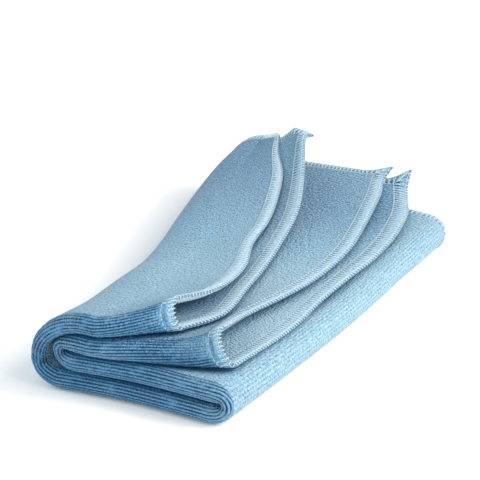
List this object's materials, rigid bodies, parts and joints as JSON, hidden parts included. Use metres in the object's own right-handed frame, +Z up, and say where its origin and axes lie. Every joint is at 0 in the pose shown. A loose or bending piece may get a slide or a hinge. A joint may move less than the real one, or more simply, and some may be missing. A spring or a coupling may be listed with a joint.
{
  "type": "microfibre cloth",
  "caption": "Knitted microfibre cleaning cloth, folded into a loose back-and-forth stack with its hems showing.",
  "frame": {"origin": "middle of the folded cloth's outline, on the surface that it lies on", "axes": "+X from the turned left side towards the right fold, +Y from the closed front fold towards the hems at the back, +Z up"},
  "size_m": [0.1184, 0.2186, 0.042],
  "materials": {
    "cloth": "matt knitted pile in light blue"
  },
  "bodies": {
    "root": {"cloth": "cloth"}
  },
  "joints": []
}
